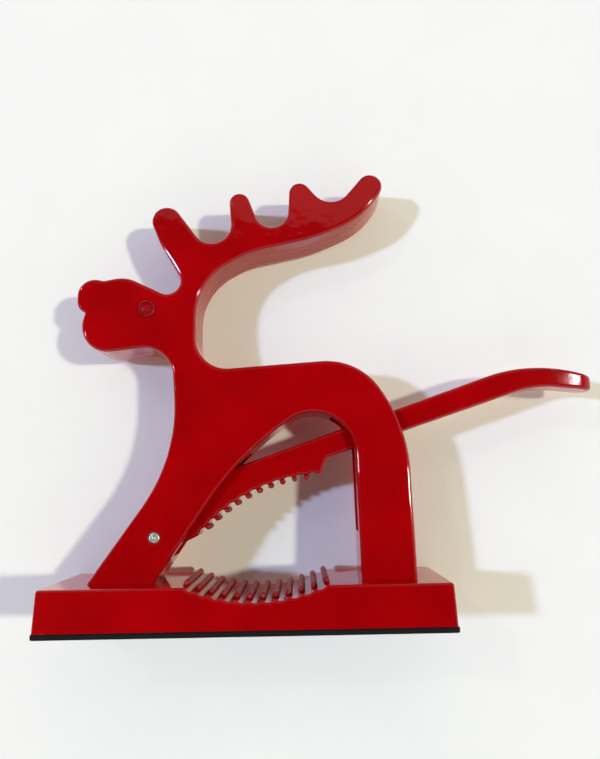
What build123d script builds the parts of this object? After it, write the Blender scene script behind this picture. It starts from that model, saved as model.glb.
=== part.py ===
from build123d import *
import math
import os

# Lever nutcracker in the shape of a moose. A flat cast animal stands on a cast
# block; a toothed lever turns on a pin in the front leg, passes through a slot
# in the rear leg and comes out behind as the tail. Nuts lie in the toothed
# hollow of the block. Millimetres, +Z up, origin at the centre of the pad
# underside. X runs along the block from nose to tail, Y across it.

# ---- base block and pad ----
base_length = 146.0           # along X, at the top
base_width = 42.4             # along Y, at the top
base_height = 14.5            # casting only
base_draft = 2.1              # degrees, all four sides
base_edge = 1.0               # rounding of the casting edges
pad_thickness = 1.8
pad_overhang = 0.5            # pad beyond the casting foot
pad_corner = 1.6

# ---- toothed hollow in the block ----
hollow_centre = 3.7           # along X
hollow_radius = 65.0          # through the crests
hollow_pitch = 4.7            # rib to rib along the arc
hollow_ribs = 12
rib_width = 2.2
rib_height = 2.0              # above the crests
rib_end_gap = 5.2             # from rib end to block edge
rib_root = 0.8                # ribs of block and jaw sink this far into the metal

# ---- moose ----
moose_thickness = 19.5
moose_edge = 1.5              # rounding of the outline edges
eye_x = -39.9
eye_z = 120.9
eye_diameter = 7.0
eye_ring = 0.9                # width of the raised ring
pupil_diameter = 3.2
eye_relief = 0.5

# ---- lever and its pin ----
pivot_x = -34.6
pivot_z = 32.5
lever_thickness = 11.0
lever_edge = 1.4
lever_side_gap = 0.3          # each side, lever to slot wall
knuckle_radius = 6.5
pin_diameter = 4.2
pin_running_gap = 0.05        # radial, pin to lever
pin_proud = 0.4               # domed ends beyond the moose faces
pin_mouth = 0.45              # countersink round the pin in both moose faces
lever_end_x = 137.0
handle_end_lean = 1.4         # underside of the handle stops this much short
jaw_centre_x = 29.4           # centre of the arc through the crests
jaw_centre_z = -9.0
jaw_radius = 64.0
jaw_pitch = 4.8
jaw_ribs = 10                 # with one bare crest beyond each end of the row
jaw_first_rib = 96.3          # degrees round the arc centre
jaw_rib_width = 2.0
jaw_rib_height = 1.7
jaw_rib_end_gap = 0.6         # rib end to lever face

# ---- slot in the legs ----
rear_leg_back = 62.6          # where the slot comes out of the rear leg
knuckle_gap = 0.8             # round the knuckle in the front leg
slot_flat = 22.0              # level floor from the pivot, before it climbs
slot_climb = 55.0             # from the pivot to where the floor is level again
slot_reach = 112.0            # from the pivot to beyond the rear leg
lever_open = 4.0              # degrees above the drawn position
lever_shut = 21.5             # degrees below it
stop_gap = 0.4                # left between the lever and the slot at either stop

# ---- fixings: one screw and one washer under each foot ----
screw_diameter = 6.0
screw_length = 16.0           # under the head
head_diameter = 10.0
head_height = 4.0
head_edge = 0.5               # rounding under the screw's head
tip_chamfer = 0.6
socket_width = 4.0            # across flats
socket_depth = 2.4
clearance_hole = 6.6
counterbore_diameter = 12.4
counterbore_depth = 7.4
washer_outer = 11.4
washer_inner = 6.4
washer_thickness = 1.6
tap_extra = 1.2               # hole beyond the screw tip
front_screw_x = -46.6
rear_screw_x = 52.2

casting_foot = pad_thickness
base_top = pad_thickness + base_height
slot_width = lever_thickness + 2 * lever_side_gap


# ---- outlines in the XZ plane ----
# An outline is a list of stations passed anticlockwise. "tip" is a convex
# round of the metal and "valley" a hollow one, each given by its centre and
# radius; "corner" is a point with its own rounding. Straight tangents join them.

def turned(point, degrees):
    angle = math.radians(degrees)
    c, s = math.cos(angle), math.sin(angle)
    return (point[0] * c - point[1] * s, point[0] * s + point[1] * c)


def heading(first, second):
    """Direction in degrees of the tangent from one station to the next."""
    sign = {"tip": 1, "valley": -1, "corner": 0}
    dx, dz = second[1] - first[1], second[2] - first[2]
    change = sign[second[0]] * second[3] - sign[first[0]] * first[3]
    lean = math.asin(change / math.hypot(dx, dz))
    return math.degrees(math.atan2(dz, dx) - lean)


def outline(stations):
    """Closed face in the XZ plane through the stations."""
    edges = []
    joints = []
    for i, (kind, x, z, radius) in enumerate(stations):
        arriving = heading(stations[i - 1], stations[i])
        leaving = heading(stations[i], stations[(i + 1) % len(stations)])
        turn = (leaving - arriving) % 360
        if kind == "valley" or (kind == "corner" and turn > 180):
            turn -= 360
        side = 1 if turn > 0 else -1
        if kind == "corner":
            reach = radius * math.tan(math.radians(abs(turn) / 2))
            back = turned((-reach, 0), arriving)
            start = (x + back[0], z + back[1])
            spoke = turned((0, -side * radius), arriving)
            centre = (start[0] - spoke[0], start[1] - spoke[1])
        else:
            spoke = turned((0, -side * radius), arriving)
            centre = (x, z)
            start = (x + spoke[0], z + spoke[1])
        half = turned(spoke, turn / 2)
        full = turned(spoke, turn)
        middle = (centre[0] + half[0], centre[1] + half[1])
        finish = (centre[0] + full[0], centre[1] + full[1])
        joints.append((start, middle, finish, radius > 0))
    for i, (start, middle, finish, is_round) in enumerate(joints):
        before = joints[i - 1][2]
        if math.dist(before, start) > 1e-5:
            edges.append(Line((before[0], 0, before[1]), (start[0], 0, start[1])))
        if is_round:
            a, b, c = [(p[0], 0, p[1]) for p in (start, middle, finish)]
            edges.append(ThreePointArc(a, b, c))
    return make_face(edges)


def slab(face, thickness):
    """Plate of the given thickness centred on the XZ plane."""
    return extrude(face, thickness / 2, dir=(0, 1, 0), both=True)


def block(x0, x1, y0, y1, z0, z1):
    middle = Pos((x0 + x1) / 2, (y0 + y1) / 2, (z0 + z1) / 2)
    return middle * Box(x1 - x0, y1 - y0, z1 - z0)


def rod(diameter, z0, z1):
    return Pos(0, 0, (z0 + z1) / 2) * Cylinder(diameter / 2, z1 - z0)


def rib_bar(length, width, height):
    """Rib lying along Y, rounded ends and crown, root sunk below Z = 0."""
    bar = extrude(Rot(0, 0, 90) * SlotOverall(length, width), height + rib_root)
    crown = bar.faces().sort_by(Axis.Z)[-1].edges()
    return Pos(0, 0, -rib_root) * fillet(crown, width * 0.48)


def scallops(count, pitch, radius, centre_x, centre_z, first):
    """Stations of a wavy hollow, one crest on the radius under each rib.

    Passed with the metal on the left, turning back from the first angle.
    """
    crest = 0.30 * pitch
    trough = 0.55 * pitch
    depth = 0.12 * pitch
    step = math.degrees(pitch / radius)
    stations = []
    for i in range(count):
        spot = turned((radius + crest, 0), first - i * step)
        stations.append(["tip", centre_x + spot[0], centre_z + spot[1], crest])
        if i < count - 1:
            spot = turned((radius + depth - trough, 0), first - (i + 0.5) * step)
            stations.append(["valley", centre_x + spot[0], centre_z + spot[1], trough])
    return stations


def rib_row(bar, count, pitch, radius, centre_x, centre_z, first):
    """Ribs standing on the hollow, each pointing at the arc centre."""
    step = math.degrees(pitch / radius)
    ribs = []
    for i in range(count):
        angle = first - i * step
        spot = turned((radius, 0), angle)
        place = Pos(centre_x + spot[0], 0, centre_z + spot[1])
        ribs.append(place * Rot(0, 270 - angle, 0) * bar)
    return ribs


# ---- base casting: drafted block, wavy hollow, ribs across it ----
draft_growth = 2 * base_height * math.tan(math.radians(base_draft))
foot_length = base_length + draft_growth
foot_width = base_width + draft_growth
tall = base_height + 5
footprint = Pos(0, 0, casting_foot) * Rectangle(foot_length, foot_width)
drafted = extrude(footprint, tall, taper=base_draft)

half_angle = math.degrees(hollow_pitch / hollow_radius) * (hollow_ribs - 1) / 2
arc_centre_z = base_top + hollow_radius * math.cos(math.radians(half_angle))
hollow = (hollow_pitch, hollow_radius, hollow_centre, arc_centre_z, 270 + half_angle)
wave = scallops(hollow_ribs, *hollow)
for end in (wave[0], wave[-1]):
    end[2] = base_top - end[3]
profile = [
    ["corner", foot_length, base_top, 0],
    *wave,
    ["corner", -foot_length, base_top, 0],
    ["corner", -foot_length, 0, 0],
    ["corner", foot_length, 0, 0],
]
base = drafted & slab(outline(profile), foot_width * 2)


def on_bottom(edge):
    return edge.center().Z < casting_foot + 0.01


def across(edge):
    box = edge.bounding_box()
    return box.max.Y - box.min.Y > base_width * 0.9 and abs(edge.center().X) < base_length * 0.4


rim = [e for e in base.edges() if not on_bottom(e) and not across(e)]
base = fillet(rim, base_edge)
base = fillet([e for e in base.edges() if on_bottom(e)], base_edge * 0.4)

bar = rib_bar(base_width - 2 * rib_end_gap, rib_width, rib_height)
base = base + rib_row(bar, hollow_ribs, *hollow)

# ---- moose: one casting, feet on the block ----
moose_stations = [
    # front foot and the inner side of the arch
    ("corner", -59.4, base_top, 0),
    ("corner", -34.5, base_top, 0),
    ("corner", -3.2, 62.0, 110),
    ("valley", 25.3, 62.6, 15.9),
    # rear foot, rear leg, haunch
    ("corner", 41.9, base_top, 0),
    ("corner", rear_leg_back, base_top, 0),
    ("corner", 61.7, 71.2, 58),
    ("corner", 44.3, 99.5, 25),
    # back, nape and under the antler
    ("valley", -7.7, 108.9, 12.6),
    ("corner", -20.3, 132.2, 25),
    ("corner", 1.1, 144.3, 40),
    ("corner", 27.7, 149.7, 70),
    ("corner", 48.6, 158.5, 34),
    # four tines from the back to the front
    ("tip", 50.9, 171.9, 5.0),
    ("valley", 34.9, 173.9, 8.5),
    ("tip", 21.9, 169.5, 4.3),
    ("valley", 10.3, 161.5, 6.8),
    ("tip", -2.9, 165.6, 4.1),
    ("valley", -14.2, 156.1, 7.8),
    ("tip", -32.7, 158.3, 5.9),
    ("corner", -34.9, 147.7, 40),
    ("valley", -32.1, 132.5, 5.4),
    # forehead, nose, mouth, jaw
    ("corner", -48.7, 134.8, 14),
    ("corner", -57.5, 133.1, 2),
    ("tip", -61.1, 127.1, 6.7),
    ("corner", -67.7, 122.1, 4.5),
    ("corner", -64.4, 119.8, 0.8),
    ("tip", -54.8, 114.6, 10.7),
    # throat and chest
    ("corner", -29.8, 106.5, 12),
    ("corner", -26.9, 61.9, 63),
]
moose = slab(outline(moose_stations), moose_thickness)


def on_face(thickness):
    """Edges lying in either flat face of a plate."""
    def test(edge):
        box = edge.bounding_box()
        return min(abs(box.min.Y), abs(box.max.Y)) > thickness / 2 - 0.01
    return test


flat = on_face(moose_thickness)
rim = [e for e in moose.edges() if flat(e) and e.center().Z > base_top + 0.1]
moose = fillet(rim, moose_edge)

# ---- lever ----
shoulder = (-17.0, 54.0)
bend_top = (112.5, 97.9)
jaw_heel = (30.3, 61.0)
bend_under = (113.6, 87.9)
handle_top = math.degrees(math.atan2(bend_top[1] - shoulder[1], bend_top[0] - shoulder[0]))
jaw = (jaw_pitch, jaw_radius, jaw_centre_x, jaw_centre_z)
jaw_step = math.degrees(jaw_pitch / jaw_radius)
jaw_last_rib = jaw_first_rib + jaw_step * (jaw_ribs - 1)
lever_stations = [
    ("tip", pivot_x, pivot_z, knuckle_radius),
    *scallops(jaw_ribs + 2, *jaw, jaw_last_rib + jaw_step),
    ("corner", *jaw_heel, 2),
    ("corner", *bend_under, 40),
    ("corner", lever_end_x - handle_end_lean, 85.6, 0),
    ("corner", lever_end_x, 91.1, 0),
    ("corner", *bend_top, 62),
    ("corner", *shoulder, 12),
]
lever = slab(outline(lever_stations), lever_thickness)
half_lever = lever_thickness / 2
straight = block(pivot_x - 20, lever_end_x - half_lever, -half_lever, half_lever, 0, 120)
nose_round = Pos(lever_end_x - half_lever, 0, 60) * Cylinder(half_lever, 120)
lever = lever & (straight + nose_round)
lever_flat = on_face(lever_thickness)


def on_lever_rim(edge):
    """Edges of the flat faces and of the rounded handle end."""
    past_round = edge.center().X > lever_end_x - half_lever + 0.01
    upright = edge.geom_type == GeomType.LINE and past_round
    return lever_flat(edge) and not past_round or past_round and not upright


lever = fillet([e for e in lever.edges() if on_lever_rim(e)], lever_edge)
jaw_bar = rib_bar(lever_thickness - 2 * jaw_rib_end_gap, jaw_rib_width, jaw_rib_height)
lever = lever + rib_row(jaw_bar, jaw_ribs, *jaw, jaw_last_rib)


def pin_rod(diameter, length):
    """Cylinder along Y on the pivot."""
    return Pos(pivot_x, 0, pivot_z) * Rot(90, 0, 0) * Cylinder(diameter / 2, length)


lever = lever - pin_rod(pin_diameter + 2 * pin_running_gap, lever_thickness * 2)

# ---- slot through the legs: room for the lever over its whole swing ----


def swung(x, z, degrees):
    """Point of the lever after it has swung up by the angle."""
    arm = turned((x - pivot_x, z - pivot_z), degrees)
    return (pivot_x + arm[0], pivot_z + arm[1])


roof = handle_top + lever_open
low_end = swung(*shoulder, lever_open)
lift = turned((-1.0, stop_gap), roof)
roof_start = (low_end[0] + lift[0], low_end[1] + lift[1])
roof_rise = turned((slot_reach, 0), roof)
pocket = knuckle_radius + knuckle_gap
shut_heel = swung(*jaw_heel, -lever_shut)
shut_bend = swung(*bend_under, -lever_shut)
shut_slope = (shut_bend[1] - shut_heel[1]) / (shut_bend[0] - shut_heel[0])
slot_floor = shut_heel[1] + shut_slope * (rear_leg_back - shut_heel[0]) - stop_gap
slot_stations = [
    ("tip", pivot_x, pivot_z, pocket),
    ("corner", pivot_x + slot_flat, pivot_z - pocket, 0),
    ("corner", pivot_x + slot_climb, slot_floor, 0),
    ("corner", pivot_x + slot_reach, slot_floor, 0),
    ("corner", roof_start[0] + roof_rise[0], roof_start[1] + roof_rise[1], 0),
    ("corner", roof_start[0], roof_start[1], 3),
]
slot = slab(outline(slot_stations), slot_width)
moose = moose - slot
moose = moose - pin_rod(pin_diameter, moose_thickness * 2)
for side in (-1, 1):
    mouth = Cone(pin_diameter / 2, pin_diameter / 2 + pin_mouth, pin_mouth)
    depth = side * (moose_thickness / 2 - pin_mouth / 2)
    moose = moose - Pos(pivot_x, depth, pivot_z) * Rot(-90 * side, 0, 0) * mouth

# ---- eye, raised on both faces ----
for side in (-1, 1):
    seat = Pos(eye_x, side * moose_thickness / 2, eye_z) * Rot(-90 * side, 0, 0)
    disc = Pos(0, 0, eye_relief / 2) * Cylinder(eye_diameter / 2, eye_relief)
    inner = Pos(0, 0, eye_relief / 2) * Cylinder(eye_diameter / 2 - eye_ring, eye_relief)
    ring = disc - inner
    ring = fillet(ring.faces().sort_by(Axis.Z)[-1].edges(), eye_ring * 0.4)
    pupil = Pos(0, 0, eye_relief / 2) * Cylinder(pupil_diameter / 2, eye_relief)
    pupil = fillet(pupil.faces().sort_by(Axis.Z)[-1].edges(), eye_relief * 0.8)
    moose = moose + seat * ring + seat * pupil

# ---- pin, pressed through the moose, ends domed over ----
pin_length = moose_thickness + 2 * pin_proud
pin = Cylinder(pin_diameter / 2, pin_length)
pin = fillet(pin.edges().filter_by(GeomType.CIRCLE), pin_proud * 1.5)
for side in (-1, 1):
    punch = Pos(0, 0, side * pin_length / 2) * Sphere(pin_diameter / 4)
    pin = pin - Pos(0, 0, side * pin_diameter * 0.12) * punch
pin = Pos(pivot_x, 0, pivot_z) * Rot(90, 0, 0) * pin

# ---- screws, washers and their holes ----
seat_z = casting_foot + counterbore_depth
under_head = seat_z - washer_thickness
tip_z = under_head + screw_length
hexagon = RegularPolygon(socket_width / 2, 6, major_radius=False)
head = rod(head_diameter, under_head - head_height, under_head)
head = fillet(head.edges().filter_by(GeomType.CIRCLE).sort_by(Axis.Z)[0], head_edge)
shank = rod(screw_diameter, under_head, tip_z)
shank = chamfer(shank.edges().filter_by(GeomType.CIRCLE).sort_by(Axis.Z)[-1], tip_chamfer)
socket = Pos(0, 0, under_head - head_height) * extrude(hexagon, socket_depth)
screw = head + shank - socket

washer = rod(washer_outer, under_head, seat_z) - rod(washer_inner, under_head, seat_z)
tapped = rod(screw_diameter, base_top, tip_z + tap_extra)
through = rod(clearance_hole, casting_foot, base_top + 1)
counterbore = rod(counterbore_diameter, casting_foot - 1, seat_z)
for x in (front_screw_x, rear_screw_x):
    moose = moose - Pos(x, 0, 0) * tapped
    base = base - Pos(x, 0, 0) * (through + counterbore)

# ---- pad under the block ----
pad_length = foot_length + 2 * pad_overhang
pad_width = foot_width + 2 * pad_overhang
pad = block(-pad_length / 2, pad_length / 2, -pad_width / 2, pad_width / 2, 0, pad_thickness)
pad = fillet(pad.edges().filter_by(Axis.Z), pad_corner)

parts = {
    "base_casting": base,
    "base_pad": pad,
    "moose_body": moose,
    "crushing_lever": lever,
    "pivot_pin": pin,
    "front_foot_screw": Pos(front_screw_x, 0, 0) * screw,
    "rear_foot_screw": Pos(rear_screw_x, 0, 0) * screw,
    "front_foot_washer": Pos(front_screw_x, 0, 0) * washer,
    "rear_foot_washer": Pos(rear_screw_x, 0, 0) * washer,
}
os.makedirs("parts", exist_ok=True)
for name, shape in parts.items():
    export_step(shape, "parts/" + name + ".step")
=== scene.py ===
import math

import bmesh
import bpy
from mathutils import Matrix, Vector, noise


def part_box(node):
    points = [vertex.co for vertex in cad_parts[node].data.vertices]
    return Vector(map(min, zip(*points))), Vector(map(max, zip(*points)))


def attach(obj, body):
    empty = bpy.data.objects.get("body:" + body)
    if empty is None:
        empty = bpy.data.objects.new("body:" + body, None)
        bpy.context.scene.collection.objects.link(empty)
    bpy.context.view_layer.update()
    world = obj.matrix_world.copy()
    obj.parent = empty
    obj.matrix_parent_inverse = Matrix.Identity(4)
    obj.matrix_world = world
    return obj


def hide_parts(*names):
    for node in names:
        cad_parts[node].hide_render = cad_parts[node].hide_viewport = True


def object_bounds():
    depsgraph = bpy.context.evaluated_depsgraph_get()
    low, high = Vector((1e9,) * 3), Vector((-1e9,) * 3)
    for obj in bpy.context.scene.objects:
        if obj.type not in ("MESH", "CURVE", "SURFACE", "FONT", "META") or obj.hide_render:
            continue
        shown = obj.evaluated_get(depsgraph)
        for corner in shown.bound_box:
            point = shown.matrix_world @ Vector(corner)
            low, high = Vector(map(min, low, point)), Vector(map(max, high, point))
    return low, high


# Lever nutcracker in the shape of a moose: gloss red enamel on castings, a
# peened steel pin, zinc plated foot screws and a black foam pad. Metres, +Z up,
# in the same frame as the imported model. It lies on its side on a pale sheet,
# which stands upright behind it here.

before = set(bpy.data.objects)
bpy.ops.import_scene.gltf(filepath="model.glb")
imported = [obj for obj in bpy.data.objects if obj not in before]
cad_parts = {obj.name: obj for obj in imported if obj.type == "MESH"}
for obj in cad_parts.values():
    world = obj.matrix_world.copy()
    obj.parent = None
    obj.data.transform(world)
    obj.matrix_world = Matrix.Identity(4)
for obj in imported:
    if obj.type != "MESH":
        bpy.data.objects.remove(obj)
cad_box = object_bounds()

MM = 0.001


# ---- node helpers ----

def fresh_material(name):
    """New node material with only its output node."""
    material = bpy.data.materials.new(name)
    material.use_nodes = True
    tree = material.node_tree
    tree.nodes.clear()
    output = tree.nodes.new("ShaderNodeOutputMaterial")
    output.location = (600, 0)
    return material, tree, output


def place(tree, kind, x, y, label=None, **settings):
    """Adds a node of the kind at a place in the node editor."""
    node = tree.nodes.new(kind)
    node.location = (x, y)
    if label:
        node.label = label
    for key, value in settings.items():
        setattr(node, key, value)
    return node


def sum_of(tree, operation, first, second, x, y):
    """Math node of two inputs, each a socket or a number."""
    node = place(tree, "ShaderNodeMath", x, y, operation=operation)
    for socket, value in zip(node.inputs, (first, second)):
        if isinstance(value, (int, float)):
            socket.default_value = value
        else:
            tree.links.new(value, socket)
    return node.outputs[0]


def spread(tree, value, low, high, out_low, out_high, x, y):
    """Map Range node, clamped."""
    node = place(tree, "ShaderNodeMapRange", x, y, clamp=True)
    tree.links.new(value, node.inputs["Value"])
    limits = (("From Min", low), ("From Max", high), ("To Min", out_low), ("To Max", out_high))
    for key, number in limits:
        node.inputs[key].default_value = number
    return node.outputs["Result"]


def blend_colour(tree, factor, first, second, x, y):
    """Mix Color node: first where the factor is 0, second where it is 1."""
    node = place(tree, "ShaderNodeMix", x, y, data_type="RGBA")
    for socket, value in zip((node.inputs[0], node.inputs[6], node.inputs[7]), (factor, first, second)):
        if isinstance(value, (tuple, float, int)):
            socket.default_value = value
        else:
            tree.links.new(value, socket)
    return node.outputs[2]


def cloud(tree, vector, scale, detail, roughness, x, y):
    """Noise texture on the given coordinates; returns its value."""
    node = place(tree, "ShaderNodeTexNoise", x, y)
    node.inputs["Scale"].default_value = scale
    node.inputs["Detail"].default_value = detail
    node.inputs["Roughness"].default_value = roughness
    tree.links.new(vector, node.inputs["Vector"])
    return node.outputs["Fac"]


def new_group(name, inputs, outputs):
    """Empty shader node group; inputs are (name, kind, value)."""
    group = bpy.data.node_groups.new(name, "ShaderNodeTree")
    for label, kind, value in inputs:
        socket = group.interface.new_socket(name=label, in_out="INPUT", socket_type=kind)
        socket.default_value = value
    for label, kind in outputs:
        group.interface.new_socket(name=label, in_out="OUTPUT", socket_type=kind)
    enter = place(group, "NodeGroupInput", -1200, 0)
    leave = place(group, "NodeGroupOutput", 900, 0)
    return group, enter, leave


def use_group(tree, group, x, y, **values):
    """Places a group in a material with its own values."""
    node = place(tree, "ShaderNodeGroup", x, y)
    node.node_tree = group
    for key, value in values.items():
        node.inputs[key.replace("_", " ")].default_value = value
    return node


# ---- shared effects ----

def paint_flow_group():
    """Height of sprayed paint: orange peel, slow waves and fine dust nibs."""
    group, enter, leave = new_group(
        "Paint flow",
        [("Peel scale", "NodeSocketFloat", 420.0), ("Peel", "NodeSocketFloat", 0.25),
         ("Wave scale", "NodeSocketFloat", 110.0), ("Wave", "NodeSocketFloat", 1.0),
         ("Nibs", "NodeSocketFloat", 0.4)],
        [("Height", "NodeSocketFloat"), ("Nib mask", "NodeSocketFloat")],
    )
    links = group.links
    spot = place(group, "ShaderNodeTexCoord", -1200, 300).outputs["Object"]
    peel = place(group, "ShaderNodeTexNoise", -900, 300)
    peel.inputs["Detail"].default_value = 1.0
    links.new(spot, peel.inputs["Vector"])
    links.new(enter.outputs["Peel scale"], peel.inputs["Scale"])
    wave = place(group, "ShaderNodeTexNoise", -900, 0)
    wave.inputs["Detail"].default_value = 2.0
    wave.inputs["Roughness"].default_value = 0.4
    links.new(spot, wave.inputs["Vector"])
    links.new(enter.outputs["Wave scale"], wave.inputs["Scale"])
    nib = place(group, "ShaderNodeTexVoronoi", -900, -300)
    nib.inputs["Scale"].default_value = 130.0
    nib.inputs["Randomness"].default_value = 1.0
    links.new(spot, nib.inputs["Vector"])
    near = spread(group, nib.outputs["Distance"], 0.02, 0.07, 1.0, 0.0, -650, -300)
    chosen = place(group, "ShaderNodeSeparateColor", -650, -500)
    links.new(nib.outputs["Color"], chosen.inputs["Color"])
    rare = sum_of(group, "GREATER_THAN", chosen.outputs["Red"], 0.93, -450, -500)
    nibs = sum_of(group, "MULTIPLY", near, rare, -250, -350)
    peel_part = sum_of(group, "MULTIPLY", peel.outputs["Fac"], enter.outputs["Peel"], -450, 300)
    wave_part = sum_of(group, "MULTIPLY", wave.outputs["Fac"], enter.outputs["Wave"], -450, 0)
    nib_part = sum_of(group, "MULTIPLY", nibs, enter.outputs["Nibs"], 0, -300)
    total = sum_of(group, "ADD", peel_part, wave_part, 200, 150)
    total = sum_of(group, "ADD", total, nib_part, 400, 50)
    links.new(total, leave.inputs["Height"])
    links.new(nibs, leave.inputs["Nib mask"])
    return group


def edge_highlight_group():
    """Masks of sharp edges, one broken up by a noise: for painted highlights and glints along the edges,
    and rubbed roughness.
    """
    group, enter, leave = new_group(
        "Edge highlight and rub",
        [("Width", "NodeSocketFloat", 0.0006), ("Break scale", "NodeSocketFloat", 300.0),
         ("Start", "NodeSocketFloat", 0.55)],
        [("Mask", "NodeSocketFloat"), ("Edge", "NodeSocketFloat")],
    )
    links = group.links
    rounded = place(group, "ShaderNodeBevel", -900, 200, samples=4)
    links.new(enter.outputs["Width"], rounded.inputs["Radius"])
    flat = place(group, "ShaderNodeNewGeometry", -900, 0).outputs["Normal"]
    dot = place(group, "ShaderNodeVectorMath", -650, 150, operation="DOT_PRODUCT")
    links.new(rounded.outputs["Normal"], dot.inputs[0])
    links.new(flat, dot.inputs[1])
    edge = spread(group, dot.outputs["Value"], 0.999, 0.93, 0.0, 1.0, -400, 150)
    spot = place(group, "ShaderNodeTexCoord", -900, -250).outputs["Object"]
    grain = place(group, "ShaderNodeTexNoise", -650, -250)
    grain.inputs["Detail"].default_value = 3.0
    links.new(spot, grain.inputs["Vector"])
    links.new(enter.outputs["Break scale"], grain.inputs["Scale"])
    broken = sum_of(group, "GREATER_THAN", grain.outputs["Fac"], enter.outputs["Start"], -400, -250)
    mask = sum_of(group, "MULTIPLY", edge, broken, 0, 0)
    links.new(mask, leave.inputs["Mask"])
    links.new(edge, leave.inputs["Edge"])
    return group


def rib_lumps_group():
    """Uneven crowns of cast ribs: lumps inside a toothed arc about the Y axis."""
    group, enter, leave = new_group(
        "Rib lumps",
        [("Arc X", "NodeSocketFloat", 0.0), ("Arc Z", "NodeSocketFloat", 0.0),
         ("Arc radius", "NodeSocketFloat", 0.065), ("Lump scale", "NodeSocketFloat", 620.0),
         ("Lump", "NodeSocketFloat", 20.0)],
        [("Height", "NodeSocketFloat"), ("Ribbed", "NodeSocketFloat")],
    )
    links = group.links
    spot = place(group, "ShaderNodeTexCoord", -1200, 300).outputs["Object"]
    axes = place(group, "ShaderNodeSeparateXYZ", -1000, 100)
    links.new(spot, axes.inputs[0])
    off_x = sum_of(group, "SUBTRACT", axes.outputs["X"], enter.outputs["Arc X"], -800, 200)
    off_z = sum_of(group, "SUBTRACT", axes.outputs["Z"], enter.outputs["Arc Z"], -800, 0)
    square_x = sum_of(group, "MULTIPLY", off_x, off_x, -600, 200)
    square_z = sum_of(group, "MULTIPLY", off_z, off_z, -600, 0)
    reach = sum_of(group, "POWER", sum_of(group, "ADD", square_x, square_z, -400, 100), 0.5, -200, 100)
    beyond = sum_of(group, "SUBTRACT", reach, enter.outputs["Arc radius"], 0, 100)
    ribbed = spread(group, beyond, 0.0, 0.0008, 1.0, 0.0, 200, 100)
    lump = place(group, "ShaderNodeTexNoise", -200, -300)
    lump.inputs["Detail"].default_value = 1.5
    lump.inputs["Roughness"].default_value = 0.45
    links.new(spot, lump.inputs["Vector"])
    links.new(enter.outputs["Lump scale"], lump.inputs["Scale"])
    size = sum_of(group, "MULTIPLY", lump.outputs["Fac"], enter.outputs["Lump"], 200, -250)
    links.new(sum_of(group, "MULTIPLY", size, ribbed, 500, -100), leave.inputs["Height"])
    links.new(ribbed, leave.inputs["Ribbed"])
    return group


paint_flow = paint_flow_group()
edge_highlight_masks = edge_highlight_group()
rib_lumps = rib_lumps_group()


# ---- materials ----

PAINT_DEPTH = 0.06 * MM       # bump height of one unit of paint flow
ENAMEL_RED = (0.38, 0.0007, 0.0025, 1.0)
ENAMEL_DEEP = (0.31, 0.0005, 0.002, 1.0)
# lighter red of the painted highlight along the edges
ENAMEL_EDGE_HIGHLIGHT = (0.43, 0.003, 0.008, 1.0)
# dark red of painted shade on the ribs and in the steps of the eye
RIB_SHADE = (0.17, 0.0003, 0.0012, 1.0)
# toothed arcs about the Y axis: centre X, centre Z, radius within the ribs
HOLLOW_ARC = (3.7 * MM, 76.2 * MM, 64.3 * MM)
JAW_ARC = (29.4 * MM, -9.0 * MM, 63.4 * MM)
EYE_CENTRE = (-39.9 * MM, 120.9 * MM)
EYE_STEPS = (3.55 * MM, 2.55 * MM, 1.65 * MM)   # ring outside, ring inside, pupil


def eye_paint(tree, spot):
    """Mask of painted shade at the steps of the eye and the height of beads inside it."""
    links = tree.links
    axes = place(tree, "ShaderNodeSeparateXYZ", -2200, 900)
    links.new(spot, axes.inputs[0])
    off_x = sum_of(tree, "SUBTRACT", axes.outputs["X"], EYE_CENTRE[0], -2000, 1000)
    off_z = sum_of(tree, "SUBTRACT", axes.outputs["Z"], EYE_CENTRE[1], -2000, 800)
    square_x = sum_of(tree, "MULTIPLY", off_x, off_x, -1800, 1000)
    square_z = sum_of(tree, "MULTIPLY", off_z, off_z, -1800, 800)
    reach = sum_of(tree, "POWER", sum_of(tree, "ADD", square_x, square_z, -1600, 900), 0.5, -1400, 900)
    eye_step_shade = None
    for row, step in enumerate(EYE_STEPS):
        y = 1100 - 200 * row
        away = sum_of(tree, "ABSOLUTE", sum_of(tree, "SUBTRACT", reach, step, -1200, y), 0.0, -1000, y)
        line = spread(tree, away, 0.0001, 0.0004, 0.85, 0.0, -800, y)
        eye_step_shade = line if eye_step_shade is None else sum_of(tree, "MAXIMUM", eye_step_shade, line, -600, y)
    inside = spread(tree, reach, EYE_STEPS[1], EYE_STEPS[0], 1.0, 0.0, -1000, 400)
    beads = cloud(tree, spot, 800.0, 1.0, 0.5, -1200, 250)
    beads = sum_of(tree, "MULTIPLY", beads, 9.0, -1000, 250)
    return eye_step_shade, sum_of(tree, "MULTIPLY", beads, inside, -800, 300)


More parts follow.
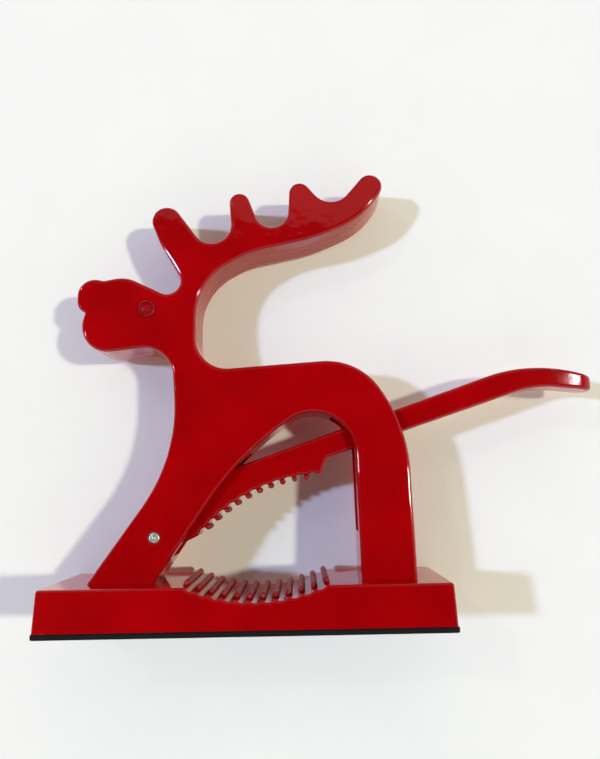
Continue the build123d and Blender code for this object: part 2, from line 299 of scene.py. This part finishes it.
def gloss_enamel(name, peel, wave, glint_start, parting, arc, eye=False):
    """Stoved gloss enamel over a casting, lighter along the edges as a painted
    highlight, with pinker broken spots there as painted glints on rubbed paint;
    parting is the half width in metres of the mould line that runs round the
    edges at Y = 0, or 0 for none. arc is the toothed arc that carries ribs, or
    None; the ribs get darker patches of painted shade. With an eye, the steps
    of the eye get dark rings of painted shade, and small beads of bump lie inside it."""
    material, tree, output = fresh_material(name)
    links = tree.links
    shader = place(tree, "ShaderNodeBsdfPrincipled", 300, 0)
    links.new(shader.outputs[0], output.inputs["Surface"])
    spot = place(tree, "ShaderNodeTexCoord", -1400, 0).outputs["Object"]
    flow = use_group(tree, paint_flow, -1100, -400, Peel=peel, Wave=wave)
    edge_glint_and_rub = use_group(tree, edge_highlight_masks, -1100, 100, Start=glint_start)
    depth = cloud(tree, spot, 38.0, 3.0, 0.55, -1100, 400)
    depth = spread(tree, depth, 0.35, 0.65, 0.0, 1.0, -850, 400)
    colour = blend_colour(tree, depth, ENAMEL_RED, ENAMEL_DEEP, -600, 400)
    # Lighter red along every edge: a painted highlight, on paint that is thin there.
    edge_highlight_share = sum_of(tree, "MULTIPLY", edge_glint_and_rub.outputs["Edge"], 0.5, -850, 100)
    colour = blend_colour(tree, edge_highlight_share, colour, ENAMEL_EDGE_HIGHLIGHT, -350, 300)
    # Pinker broken spots along the edges: painted glints; the same spots are also rubbed rougher below.
    colour = blend_colour(tree, edge_glint_and_rub.outputs["Mask"], colour, (0.5, 0.06, 0.06, 1.0), -100, 200)
    height = flow.outputs["Height"]
    if arc:
        lumps = use_group(tree, rib_lumps, -1100, -950, Arc_X=arc[0], Arc_Z=arc[1], Arc_radius=arc[2])
        height = sum_of(tree, "ADD", height, lumps.outputs["Height"], -600, -950)
        rough_ribs = sum_of(tree, "MULTIPLY", lumps.outputs["Ribbed"], 0.45, -600, -1100)
        # Darker red patches over the ribs: painted shade on the ribs.
        rib_painted_shade = cloud(tree, spot, 500.0, 2.0, 0.5, -1100, 650)
        rib_painted_shade = spread(tree, rib_painted_shade, 0.42, 0.6, 0.15, 0.7, -850, 650)
        rib_painted_shade = sum_of(tree, "MULTIPLY", rib_painted_shade, lumps.outputs["Ribbed"], -600, 650)
        colour = blend_colour(tree, rib_painted_shade, colour, RIB_SHADE, 50, 350)
    if eye:
        # Dark rings at the steps of the eye: painted shade in its recesses.
        eye_step_shade, beads = eye_paint(tree, spot)
        colour = blend_colour(tree, eye_step_shade, colour, RIB_SHADE, 50, 350)
        height = sum_of(tree, "ADD", height, beads, -600, -950)
    links.new(colour, shader.inputs["Base Color"])
    haze = cloud(tree, spot, 120.0, 4.0, 0.6, -1100, -150)
    gloss = spread(tree, haze, 0.3, 0.7, 0.035, 0.07, -850, -150)
    rubbed = sum_of(tree, "MULTIPLY", edge_glint_and_rub.outputs["Mask"], 0.25, -600, -50)
    gloss = sum_of(tree, "ADD", gloss, rubbed, -400, -100)
    if arc:
        gloss = sum_of(tree, "ADD", gloss, rough_ribs, -200, -100)
    links.new(gloss, shader.inputs["Roughness"])
    if parting:
        across = place(tree, "ShaderNodeSeparateXYZ", -1100, -700)
        links.new(spot, across.inputs[0])
        off = sum_of(tree, "ABSOLUTE", across.outputs["Y"], 0.0, -850, -700)
        ridge = spread(tree, off, 0.0, parting, 1.2, 0.0, -600, -700)
        height = sum_of(tree, "ADD", height, ridge, -350, -500)
    bump = place(tree, "ShaderNodeBump", 50, -300)
    bump.inputs["Strength"].default_value = 1.0
    bump.inputs["Distance"].default_value = PAINT_DEPTH
    links.new(height, bump.inputs["Height"])
    links.new(bump.outputs[0], shader.inputs["Normal"])
    shader.inputs["IOR"].default_value = 1.5
    shader.inputs["Coat Weight"].default_value = 0.15
    if arc:
        bare_ribs = spread(tree, lumps.outputs["Ribbed"], 0.0, 1.0, 0.15, 0.0, 50, -550)
        links.new(bare_ribs, shader.inputs["Coat Weight"])
    shader.inputs["Coat Roughness"].default_value = 0.03
    return material


def peened_steel():
    """Pin end: warm grey and dull, slightly dented by the hammer."""
    material, tree, output = fresh_material("Peened steel")
    links = tree.links
    shader = place(tree, "ShaderNodeBsdfPrincipled", 300, 0)
    links.new(shader.outputs[0], output.inputs["Surface"])
    spot = place(tree, "ShaderNodeTexCoord", -1100, 0).outputs["Object"]
    shade = cloud(tree, spot, 900.0, 3.0, 0.6, -850, 200)
    colour = blend_colour(tree, shade, (0.50, 0.44, 0.36, 1.0), (0.82, 0.75, 0.64, 1.0), -500, 200)
    links.new(colour, shader.inputs["Base Color"])
    links.new(spread(tree, shade, 0.3, 0.7, 0.36, 0.6, -500, 0), shader.inputs["Roughness"])
    shader.inputs["Metallic"].default_value = 1.0
    dents = cloud(tree, spot, 700.0, 1.0, 0.5, -850, -250)
    bump = place(tree, "ShaderNodeBump", 0, -250)
    bump.inputs["Strength"].default_value = 0.8
    bump.inputs["Distance"].default_value = 0.0002
    links.new(dents, bump.inputs["Height"])
    links.new(bump.outputs[0], shader.inputs["Normal"])
    return material


def zinc_plate():
    """Blue-white zinc over turned steel: fine rings and cloudy passivation."""
    material, tree, output = fresh_material("Zinc plate")
    links = tree.links
    shader = place(tree, "ShaderNodeBsdfPrincipled", 300, 0)
    links.new(shader.outputs[0], output.inputs["Surface"])
    spot = place(tree, "ShaderNodeTexCoord", -1100, 0).outputs["Object"]
    cloudy = cloud(tree, spot, 260.0, 4.0, 0.6, -850, 200)
    colour = blend_colour(tree, cloudy, (0.50, 0.53, 0.56, 1.0), (0.68, 0.67, 0.62, 1.0), -500, 200)
    links.new(colour, shader.inputs["Base Color"])
    links.new(spread(tree, cloudy, 0.3, 0.7, 0.24, 0.42, -500, 0), shader.inputs["Roughness"])
    shader.inputs["Metallic"].default_value = 1.0
    grain = cloud(tree, spot, 2500.0, 2.0, 0.5, -850, -250)
    bump = place(tree, "ShaderNodeBump", 0, -250)
    bump.inputs["Strength"].default_value = 0.4
    bump.inputs["Distance"].default_value = 0.00005
    links.new(grain, bump.inputs["Height"])
    links.new(bump.outputs[0], shader.inputs["Normal"])
    return material


def foam_rubber():
    """Black closed-cell foam: matt, with small open cells and pale dust."""
    material, tree, output = fresh_material("Foam rubber")
    links = tree.links
    shader = place(tree, "ShaderNodeBsdfPrincipled", 300, 0)
    links.new(shader.outputs[0], output.inputs["Surface"])
    spot = place(tree, "ShaderNodeTexCoord", -1100, 0).outputs["Object"]
    cells = place(tree, "ShaderNodeTexVoronoi", -850, -250)
    cells.inputs["Scale"].default_value = 2600.0
    links.new(spot, cells.inputs["Vector"])
    patch = cloud(tree, spot, 180.0, 4.0, 0.6, -850, 200)
    dust = spread(tree, patch, 0.5, 0.8, 0.0, 1.0, -650, 200)
    colour = blend_colour(tree, dust, (0.004, 0.0037, 0.004, 1.0), (0.011, 0.010, 0.010, 1.0), -400, 200)
    links.new(colour, shader.inputs["Base Color"])
    links.new(spread(tree, patch, 0.3, 0.7, 0.72, 0.9, -400, 0), shader.inputs["Roughness"])
    shader.inputs["Specular IOR Level"].default_value = 0.25
    bump = place(tree, "ShaderNodeBump", 0, -250)
    bump.inputs["Strength"].default_value = 0.7
    bump.inputs["Distance"].default_value = 0.0001
    links.new(cells.outputs["Distance"], bump.inputs["Height"])
    links.new(bump.outputs[0], shader.inputs["Normal"])
    return material


def dress(node, material):
    """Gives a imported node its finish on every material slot."""
    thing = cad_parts[node]
    if not thing.material_slots:
        thing.data.materials.append(material)
    for material_slot in thing.material_slots:
        material_slot.material = material


moose_paint = gloss_enamel("Enamel on the moose", 0.3, 2.6, 0.66, 0.0005, None, eye=True)
block_paint = gloss_enamel("Enamel on the block", 0.25, 1.8, 0.66, 0.0, HOLLOW_ARC)
lever_paint = gloss_enamel("Enamel on the lever", 0.1, 0.3, 0.64, 0.0004, JAW_ARC)
pin_finish = peened_steel()
zinc = zinc_plate()
foam = foam_rubber()
dress("moose_body", moose_paint)
dress("base_casting", block_paint)
dress("crushing_lever", lever_paint)
dress("pivot_pin", pin_finish)
for fixing in ("front_foot_screw", "rear_foot_screw", "front_foot_washer", "rear_foot_washer"):
    dress(fixing, zinc)


# ---- foam pad under the block ----

PAD_CUTS_LONG = 60            # strips along the pad, so that its edge can wander
PAD_CUTS_WIDE = 18

def clear_selection():
    """Leaves nothing selected, so an operator touches only what comes next."""
    if bpy.context.object and bpy.context.object.mode != "OBJECT":
        bpy.ops.object.mode_set(mode="OBJECT")
    bpy.ops.object.select_all(action="DESELECT")


def settle(piece):
    """Puts the piece's place into its mesh and leaves it at the origin."""
    clear_selection()
    piece.select_set(True)
    bpy.context.view_layer.objects.active = piece
    bpy.ops.object.transform_apply(location=True, rotation=True, scale=True)


def foam_pad():
    """Die-cut foam sheet: rounded corners, soft edges that wander a little."""
    low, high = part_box("base_pad")
    corner = 1.6 * MM
    soft = 0.35 * MM
    wander = 0.16 * MM
    clear_selection()
    bpy.ops.mesh.primitive_cube_add(size=1.0, location=(low + high) / 2)
    pad = bpy.context.object
    pad.name = "foam_pad"
    pad.scale = high - low
    settle(pad)
    bpy.ops.object.mode_set(mode="EDIT")
    bpy.ops.mesh.select_all(action="DESELECT")
    bpy.ops.mesh.select_mode(type="EDGE")
    shape = bmesh.from_edit_mesh(pad.data)
    for edge in shape.edges:
        first, second = (v.co for v in edge.verts)
        edge.select = abs(first.z - second.z) > (high.z - low.z) / 2
    bmesh.update_edit_mesh(pad.data)
    bpy.ops.mesh.bevel(offset=corner, offset_type="OFFSET", segments=6, profile=0.5)
    for cut in range(1, PAD_CUTS_LONG):
        x = low.x + (high.x - low.x) * cut / PAD_CUTS_LONG
        bpy.ops.mesh.select_all(action="SELECT")
        bpy.ops.mesh.bisect(plane_co=(x, 0, 0), plane_no=(1, 0, 0))
    for cut in range(1, PAD_CUTS_WIDE):
        y = low.y + (high.y - low.y) * cut / PAD_CUTS_WIDE
        bpy.ops.mesh.select_all(action="SELECT")
        bpy.ops.mesh.bisect(plane_co=(0, y, 0), plane_no=(0, 1, 0))
    bpy.ops.mesh.select_all(action="DESELECT")
    shape = bmesh.from_edit_mesh(pad.data)
    shape.normal_update()
    for edge in shape.edges:
        turn = edge.calc_face_angle(0.0)
        edge.select = turn > math.radians(60)
    bmesh.update_edit_mesh(pad.data)
    bpy.ops.mesh.bevel(offset=soft, offset_type="OFFSET", segments=3, profile=0.5)
    bpy.ops.object.mode_set(mode="OBJECT")
    middle = (low + high) / 2
    for vertex in pad.data.vertices:
        spot = vertex.co
        inward = Vector((middle.x - spot.x, middle.y - spot.y, 0.0))
        rim_x = abs(spot.x - middle.x) > (high.x - low.x) / 2 - 2 * corner
        rim_y = abs(spot.y - middle.y) > (high.y - low.y) / 2 - 2 * corner
        pull = wander * (0.5 + 0.5 * noise.noise(Vector((spot.x, spot.y, 0)) * 90.0))
        if rim_x:
            spot.x += math.copysign(pull, inward.x)
        if rim_y:
            spot.y += math.copysign(pull, inward.y)
    clear_selection()
    pad.select_set(True)
    bpy.context.view_layer.objects.active = pad
    bpy.ops.object.shade_smooth_by_angle(angle=math.radians(40))
    pad.data.materials.append(foam)
    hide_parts("base_pad")
    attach(pad, "frame")
    return pad


foam_pad()


# ---- the pale sheet that the nutcracker lies on ----

def sheet_material():
    """Pale paper, seen only from its front; light from behind passes."""
    material, tree, output = fresh_material("Pale sheet")
    links = tree.links
    paper = place(tree, "ShaderNodeBsdfPrincipled", 100, 100)
    spot = place(tree, "ShaderNodeTexCoord", -1100, 0).outputs["Object"]
    tone = cloud(tree, spot, 22.0, 5.0, 0.6, -850, 200)
    colour = blend_colour(tree, tone, (0.83, 0.83, 0.845, 1.0), (0.91, 0.91, 0.90, 1.0), -400, 200)
    links.new(colour, paper.inputs["Base Color"])
    paper.inputs["Roughness"].default_value = 0.85
    paper.inputs["Specular IOR Level"].default_value = 0.1
    weave = cloud(tree, spot, 900.0, 3.0, 0.7, -850, -200)
    bump = place(tree, "ShaderNodeBump", -200, -200)
    bump.inputs["Strength"].default_value = 0.25
    bump.inputs["Distance"].default_value = 0.0002
    links.new(weave, bump.inputs["Height"])
    links.new(bump.outputs[0], paper.inputs["Normal"])
    back = place(tree, "ShaderNodeNewGeometry", -400, -500).outputs["Backfacing"]
    passing = place(tree, "ShaderNodeLightPath", -400, -700).outputs["Is Shadow Ray"]
    open_share = sum_of(tree, "MAXIMUM", back, passing, -100, -500)
    clear = place(tree, "ShaderNodeBsdfTransparent", 100, -300)
    pick = place(tree, "ShaderNodeMixShader", 350, 0)
    links.new(open_share, pick.inputs[0])
    links.new(paper.outputs[0], pick.inputs[1])
    links.new(clear.outputs[0], pick.inputs[2])
    links.new(pick.outputs[0], output.inputs["Surface"])
    return material


def lying_plane():
    """Plane that touches the pad's back lower edge and the antler's back:
    returns Y at Z = 0 and the fall of Y per metre of Z."""
    pad_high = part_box("base_pad")[1]
    moose_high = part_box("moose_body")[1]
    antler_top = 3 * MM
    corners = [v.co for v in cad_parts["moose_body"].data.vertices]
    antler_back = max(point.y for point in corners if point.z > moose_high.z - antler_top)
    clearance = 0.15 * MM
    lean = (pad_high.y - antler_back) / (moose_high.z - pad_high.z)
    foot = pad_high.y + lean * pad_high.z + clearance
    return foot, lean


sheet_foot, sheet_lean = lying_plane()
SHEET_SIZE = 3.0
clear_selection()
bpy.ops.mesh.primitive_plane_add(size=SHEET_SIZE, location=(0, 0, 0))
sheet = bpy.context.object
sheet.name = "pale_sheet"
sheet_tilt = math.pi / 2 + math.atan(sheet_lean)
sheet.rotation_euler = (sheet_tilt, 0, 0)
sheet.location = (0, sheet_foot, 0)
settle(sheet)
sheet.data.materials.append(sheet_material())


# ---- light ----

def sun(name, travel, strength, colour, width_degrees):
    """Distant lamp whose light travels along the given direction."""
    lamp = bpy.data.lights.new(name, "SUN")
    lamp.energy = strength
    lamp.color = colour
    lamp.angle = math.radians(width_degrees)
    holder = bpy.data.objects.new(name, lamp)
    holder.rotation_mode = "QUATERNION"
    holder.rotation_quaternion = Vector(travel).to_track_quat("-Z", "Y")
    bpy.context.scene.collection.objects.link(holder)
    return holder


def panel(name, place_at, aim_at, width, height, strength, colour):
    """Soft rectangular lamp aimed at a point."""
    lamp = bpy.data.lights.new(name, "AREA")
    lamp.shape = "RECTANGLE"
    lamp.size = width
    lamp.size_y = height
    lamp.energy = strength
    lamp.color = colour
    holder = bpy.data.objects.new(name, lamp)
    holder.location = place_at
    holder.rotation_mode = "QUATERNION"
    holder.rotation_quaternion = (Vector(aim_at) - Vector(place_at)).to_track_quat("-Z", "Y")
    bpy.context.scene.collection.objects.link(holder)
    return holder


sun("window_left", (1.0, 1.0, -0.08), 1.8, (0.53, 0.68, 1.0), 4.0)
sun("lamp_right", (-0.83, 1.0, -0.005), 1.56, (0.975, 1.0, 0.737), 4.0)
sun("fill_behind", (0.2, -1.0, -0.35), 1.2, (1.0, 1.0, 1.0), 60.0)
centre = (cad_box[0] + cad_box[1]) / 2
sun("pendant", (0.7, 0.9, -0.55), 0.12, (1.0, 1.0, 1.0), 1.5)
lever_low, lever_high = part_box("crushing_lever")
STREAK_FROM_END = 7.5 * MM    # where the handle mirrors the door gap
STREAK_HEIGHT = 90.4 * MM
handle_face = Vector((lever_high.x - STREAK_FROM_END, lever_low.y, STREAK_HEIGHT))
panel("door_gap", (0.975, -1.82, 0.404), handle_face, 0.02, 0.10, 0.28, (1.0, 1.0, 1.0))
panel("ceiling_glow", centre + Vector((-0.10, -1.0, 0.80)), centre, 1.5, 0.5, 0.70, (1.0, 0.98, 0.95))


def room_light():
    """Even pale light; gloss sees a darker room towards the front and top."""
    world = bpy.data.worlds.new("Room")
    bpy.context.scene.world = world
    world.use_nodes = True
    tree = world.node_tree
    tree.nodes.clear()
    links = tree.links
    output = place(tree, "ShaderNodeOutputWorld", 900, 0)
    rays = place(tree, "ShaderNodeLightPath", -200, 400)
    even = place(tree, "ShaderNodeBackground", 300, 200)
    even.inputs["Color"].default_value = (0.43, 0.37, 0.32, 1.0)
    direction = place(tree, "ShaderNodeTexCoord", -1200, 0).outputs["Generated"]
    parts = place(tree, "ShaderNodeSeparateXYZ", -1000, 0)
    links.new(direction, parts.inputs[0])
    shaded = spread(tree, parts.outputs["Y"], -0.95, -0.45, 0.15, 1.81, -600, 300)
    links.new(shaded, even.inputs["Strength"])
    side = sum_of(tree, "SUBTRACT", parts.outputs["X"], parts.outputs["Z"], -800, 0)
    bright = spread(tree, side, -0.9, 1.1, 0.03, 0.85, -600, 0)
    front = spread(tree, parts.outputs["Y"], -0.95, -0.35, 0.0, 1.0, -600, -250)
    bright = sum_of(tree, "MULTIPLY", bright, front, -400, -100)
    seen = place(tree, "ShaderNodeBackground", 300, 0)
    links.new(bright, seen.inputs["Strength"])
    pale = place(tree, "ShaderNodeBackground", 300, -200)
    pale.inputs["Color"].default_value = (0.86, 0.86, 0.87, 1.0)
    glossy = place(tree, "ShaderNodeMixShader", 500, 100)
    links.new(rays.outputs["Is Glossy Ray"], glossy.inputs[0])
    links.new(even.outputs[0], glossy.inputs[1])
    links.new(seen.outputs[0], glossy.inputs[2])
    chosen = place(tree, "ShaderNodeMixShader", 700, 0)
    links.new(rays.outputs["Is Camera Ray"], chosen.inputs[0])
    links.new(glossy.outputs[0], chosen.inputs[1])
    links.new(pale.outputs[0], chosen.inputs[2])
    links.new(chosen.outputs[0], output.inputs["Surface"])


room_light()
bpy.context.scene.view_settings.view_transform = "Standard"


# ---- camera ----

CAMERA_TURN = (-0.04, 10.15, -1.10)           # yaw, pitch and roll in degrees
CAMERA_PLACE = (0.0208, -0.2389, 0.0501)
SENSOR_WIDTH = 36.0
LENS = 28.46

def camera():
    """Camera in front of the block, level with the legs and tilted up."""
    yaw, pitch, roll = (math.radians(a) for a in CAMERA_TURN)
    ahead = Vector((math.sin(yaw) * math.cos(pitch), math.cos(yaw) * math.cos(pitch), math.sin(pitch)))
    level = Vector((math.cos(yaw), -math.sin(yaw), 0.0))
    upright = level.cross(ahead)
    right = level * math.cos(roll) + upright * math.sin(roll)
    up = upright * math.cos(roll) - level * math.sin(roll)
    data = bpy.data.cameras.new("camera")
    data.sensor_width = SENSOR_WIDTH
    data.lens = LENS
    data.clip_start = 0.01
    holder = bpy.data.objects.new("camera", data)
    turn = Matrix((right, up, -ahead)).transposed().to_4x4()
    holder.matrix_world = Matrix.Translation(CAMERA_PLACE) @ turn
    bpy.context.scene.collection.objects.link(holder)
    bpy.context.scene.camera = holder


camera()
